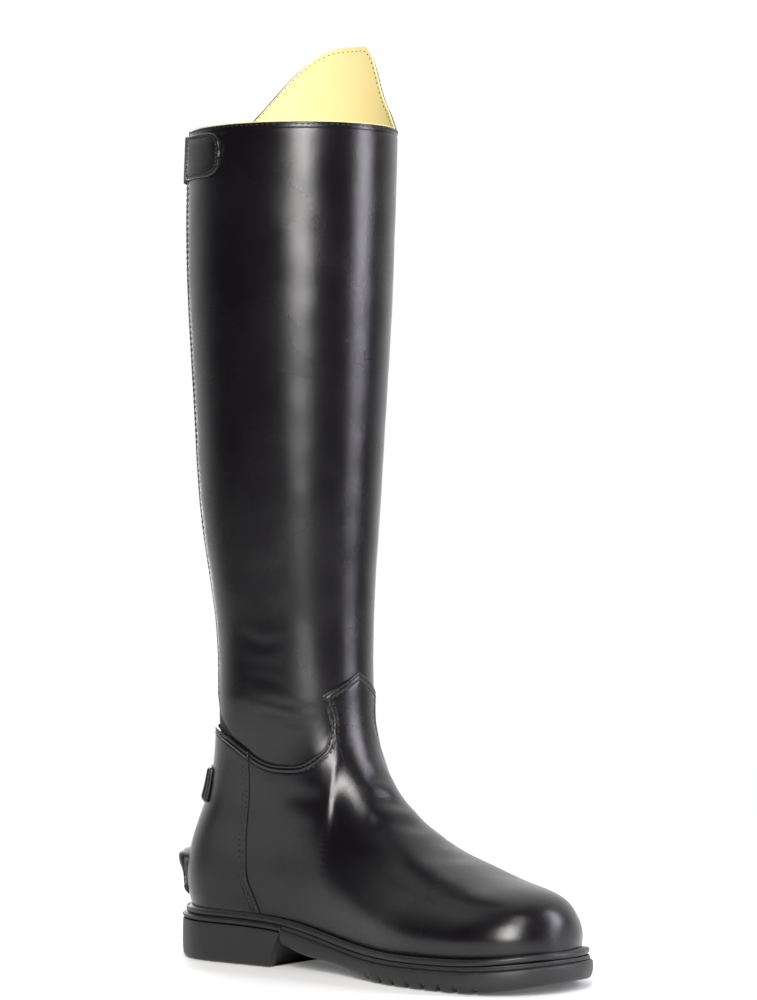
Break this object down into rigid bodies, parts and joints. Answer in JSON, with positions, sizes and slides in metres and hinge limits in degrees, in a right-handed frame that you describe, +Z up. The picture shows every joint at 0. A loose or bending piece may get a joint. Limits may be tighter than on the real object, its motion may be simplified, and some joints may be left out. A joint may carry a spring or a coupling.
{
  "type": "dress riding boot",
  "caption": "Tall black leather riding boot with a last-shaped foot, back zip, elastic gusset, snapped collar strap and a collar that rises to a peak on its outer side.",
  "frame": {"origin": "on the ground, under the middle of the heel block", "axes": "+X towards the toe, +Y towards the outer side of the left foot, +Z up the leg"},
  "size_m": [0.2831, 0.1121, 0.5147],
  "materials": {
    "calf_leather": "smooth polished black calf with a fine pore grain",
    "trim_leather": "black trim leather, lightly creased, semi-gloss",
    "rubber": "moulded black rubber, satin",
    "welt": "stitched black welt, satin",
    "elastic": "ribbed black elastic webbing, matt",
    "zip_tape": "woven black tape, matt",
    "zip_coil": "black nylon coil, satin",
    "black_enamel": "black enamel on metal, glossy",
    "snap_metal": "grey metal, brushed and slightly domed",
    "lining": "pale yellow lining leather, satin"
  },
  "bodies": {
    "boot": {"upper": "calf_leather", "shaft": "calf_leather", "zip_facing_inner": "trim_leather", "zip_facing_outer": "trim_leather", "strap_anchor": "trim_leather", "strap_end": "trim_leather", "spur_rest": "trim_leather", "keeper_inner": "trim_leather", "keeper_outer": "trim_leather", "outsole": "rubber", "heel": "rubber", "welt": "welt", "gusset_elastic": "elastic", "strap_elastic": "elastic", "zip_tape": "zip_tape", "zip_teeth": "zip_coil", "zip_slider": "black_enamel", "snap_cap": "snap_metal", "insole": "lining"},
    "zip_pull": {"zip_pull_tab": "black_enamel", "zip_pull_leather": "trim_leather"}
  },
  "joints": [
    {"name": "zip_pull_swing", "type": "hinge", "parent": "boot", "child": "zip_pull", "pos_m": [-0.03228, 0, 0.42428], "axis": [0, 1, 0], "range_deg": [0, 150]}
  ]
}
